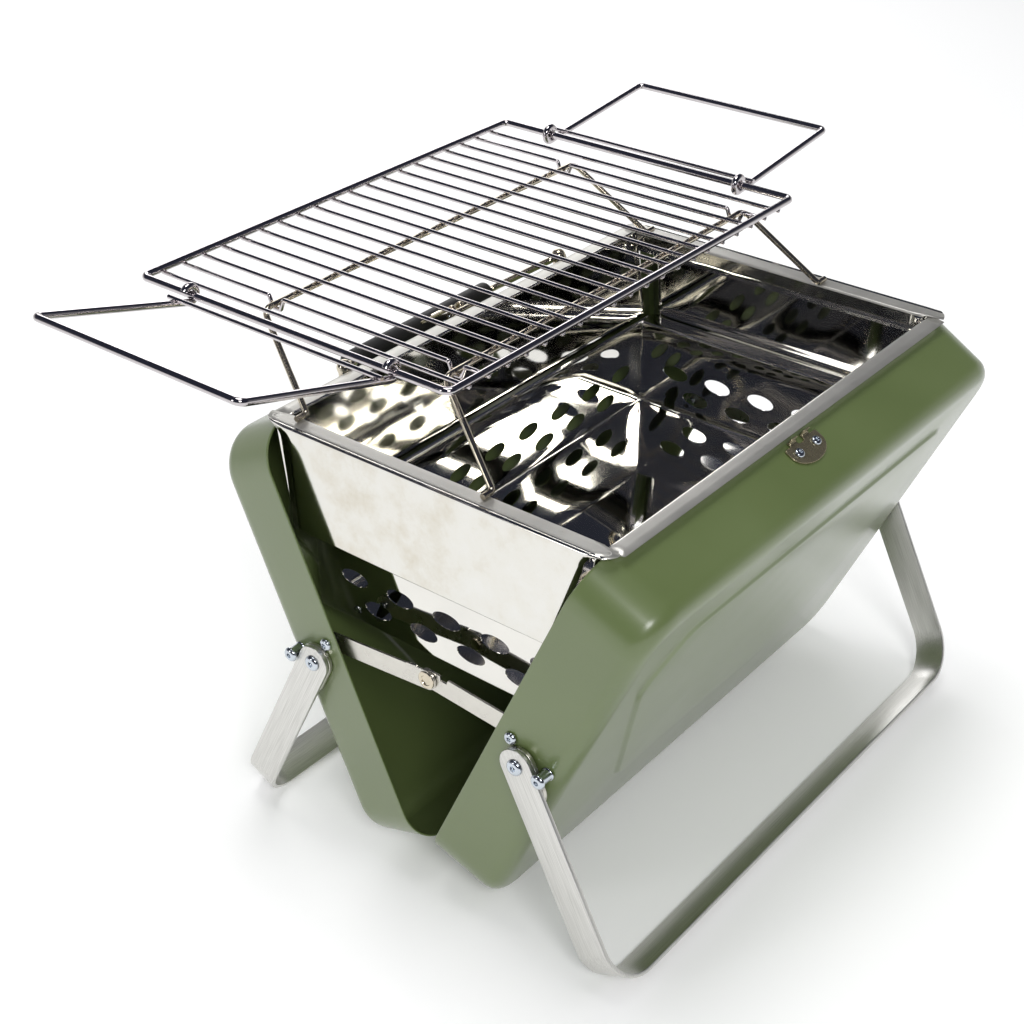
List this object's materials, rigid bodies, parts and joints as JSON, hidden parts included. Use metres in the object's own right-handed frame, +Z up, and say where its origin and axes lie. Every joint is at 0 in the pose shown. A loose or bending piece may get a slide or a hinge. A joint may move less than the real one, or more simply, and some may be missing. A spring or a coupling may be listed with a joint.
{
  "type": "folding camp grill",
  "caption": "Suitcase-style folding charcoal grill: clamshell case standing open as a V on U-shaped legs, with a slotted charcoal pan and a wire grid on fold-out legs above.",
  "frame": {"origin": "on the ground, at the middle of the overall box's underside", "axes": "+X along the hinge, towards the end with the stand's far arm; +Y towards the half that carries the carry handle and latch; +Z up"},
  "size_m": [0.6174, 0.4234, 0.3973],
  "materials": {
    "green_paint": "satin olive-green powder coat",
    "polished_steel": "mirror-polished stainless sheet",
    "brushed_aluminium": "satin brushed stainless strip",
    "chrome_wire": "bright chrome-plated wire",
    "nickel_wire": "bright nickel plate, slightly warm",
    "zinc_rivet": "bright zinc plate",
    "yellow_zinc": "warm nickel plate",
    "black_grip": "matt black moulding"
  },
  "bodies": {
    "rear_case": {"rear_shell": "green_paint", "hinge_leaf_rear": "green_paint", "hinge_pin": "zinc_rivet", "rear_stay_rivet_near": "zinc_rivet", "rear_stay_rivet_far": "zinc_rivet", "rear_stand_pivot_near": "zinc_rivet", "rear_stand_pivot_far": "zinc_rivet", "rear_stop_pin_near": "zinc_rivet", "rear_stop_pin_far": "zinc_rivet", "carry_handle_mount_near": "nickel_wire", "carry_handle_mount_far": "nickel_wire", "latch_base": "nickel_wire", "latch_rivet_near": "zinc_rivet", "latch_rivet_far": "zinc_rivet", "latch_pin": "zinc_rivet"},
    "front_case": {"front_shell": "green_paint", "hinge_leaf_front": "green_paint", "front_stay_rivet_near": "zinc_rivet", "front_stay_rivet_far": "zinc_rivet", "front_stand_pivot_near": "zinc_rivet", "front_stand_pivot_far": "zinc_rivet", "front_stop_pin_near": "zinc_rivet", "front_stop_pin_far": "zinc_rivet", "catch_plate": "yellow_zinc", "catch_rivet_near": "zinc_rivet", "catch_rivet_far": "zinc_rivet"},
    "rear_stand": {"rear_stand": "brushed_aluminium", "rear_stand_doubler_near": "brushed_aluminium", "rear_stand_doubler_far": "brushed_aluminium"},
    "front_stand": {"front_stand": "brushed_aluminium", "front_stand_doubler_near": "brushed_aluminium", "front_stand_doubler_far": "brushed_aluminium"},
    "rear_stays": {"stay_rear_near": "brushed_aluminium", "stay_rear_far": "brushed_aluminium", "stay_joint_rivet_near": "nickel_wire", "stay_joint_rivet_far": "nickel_wire"},
    "front_stays": {"stay_front_near": "brushed_aluminium", "stay_front_far": "brushed_aluminium", "stay_joint_tail_near": "nickel_wire", "stay_joint_tail_far": "nickel_wire"},
    "fire_box": {"near_end_panel": "polished_steel", "far_end_panel": "polished_steel", "front_rail": "polished_steel", "rear_rail": "polished_steel"},
    "charcoal_pan": {"charcoal_pan": "polished_steel"},
    "grid": {"grid": "chrome_wire"},
    "front_legs": {"front_leg_wire": "nickel_wire"},
    "rear_legs": {"rear_leg_wire": "nickel_wire"},
    "near_handle": {"grid_handle_near": "chrome_wire"},
    "far_handle": {"grid_handle_far": "chrome_wire"},
    "carry_handle": {"carry_handle_bail": "nickel_wire", "carry_handle_grip": "black_grip"},
    "latch_lever": {"latch_lever": "nickel_wire"},
    "latch_loop": {"latch_loop": "yellow_zinc"}
  },
  "joints": [
    {"name": "case_fold", "type": "hinge", "parent": "rear_case", "child": "front_case", "pos_m": [-0.00164, -0.0417, 0.0254], "axis": [-1, 0, 0], "range_deg": [0, 48]},
    {"name": "fire_box_lift", "type": "slide", "parent": "rear_case", "child": "fire_box", "axis": [0, 0.0995, 0.995], "range_m": [0, 1.52]},
    {"name": "rear_stay_swing", "type": "hinge", "parent": "rear_case", "child": "rear_stays", "pos_m": [-0.00164, 0.03475, 0.16647], "axis": [1, 0, 0], "range_deg": [0, 39.14]},
    {"name": "front_stay_swing", "type": "hinge", "parent": "front_case", "child": "front_stays", "pos_m": [-0.00164, -0.11815, 0.16647], "axis": [-1, 0, 0], "range_deg": [0, 86.34]},
    {"name": "front_stand_fold", "type": "hinge", "parent": "front_case", "child": "front_stand", "pos_m": [-0.00164, -0.12582, 0.15153], "axis": [1, 0, 0], "range_deg": [0, 50.6]},
    {"name": "rear_stand_fold", "type": "hinge", "parent": "rear_case", "child": "rear_stand", "pos_m": [-0.00164, 0.04241, 0.15153], "axis": [-1, 0, 0], "range_deg": [0, 50.6]},
    {"name": "pan_slide", "type": "slide", "parent": "fire_box", "child": "charcoal_pan", "axis": [0, 0, 1], "range_m": [0, 0.05]},
    {"name": "grid_lift", "type": "slide", "parent": "fire_box", "child": "grid", "axis": [0, 0, 1], "range_m": [0, 0.15]},
    {"name": "front_leg_fold", "type": "hinge", "parent": "grid", "child": "front_legs", "pos_m": [-0.00164, -0.0277, 0.359], "axis": [-1, 0, 0], "range_deg": [0, 40]},
    {"name": "rear_leg_fold", "type": "hinge", "parent": "grid", "child": "rear_legs", "pos_m": [-0.00164, 0.1233, 0.359], "axis": [-1, 0, 0], "range_deg": [0, 40]},
    {"name": "near_handle_fold", "type": "hinge", "parent": "grid", "child": "near_handle", "pos_m": [-0.18864, 0.0787, 0.36629], "axis": [0, 1, 0], "range_deg": [0, 150]},
    {"name": "far_handle_fold", "type": "hinge", "parent": "grid", "child": "far_handle", "pos_m": [0.18536, 0.0787, 0.36629], "axis": [0, -1, 0], "range_deg": [0, 160]},
    {"name": "carry_handle_swing", "type": "hinge", "parent": "rear_case", "child": "carry_handle", "pos_m": [-0.00164, 0.10121, 0.30578], "axis": [1, 0, 0], "range_deg": [0, 110]},
    {"name": "latch_lever_swing", "type": "hinge", "parent": "rear_case", "child": "latch_lever", "pos_m": [-0.00164, 0.09852, 0.30496], "axis": [1, 0, 0], "range_deg": [0, 90]},
    {"name": "latch_loop_swing", "type": "hinge", "parent": "latch_lever", "child": "latch_loop", "pos_m": [-0.00164, 0.10351, 0.30578], "axis": [1, 0, 0], "range_deg": [0, 90]}
  ],
  "couplings": [
    {"joint": "fire_box_lift", "follows": "case_fold", "m_per_rad": 1.8},
    {"joint": "rear_stay_swing", "follows": "case_fold", "ratio": 0.80509},
    {"joint": "front_stay_swing", "follows": "case_fold", "ratio": 1.7884}
  ]
}
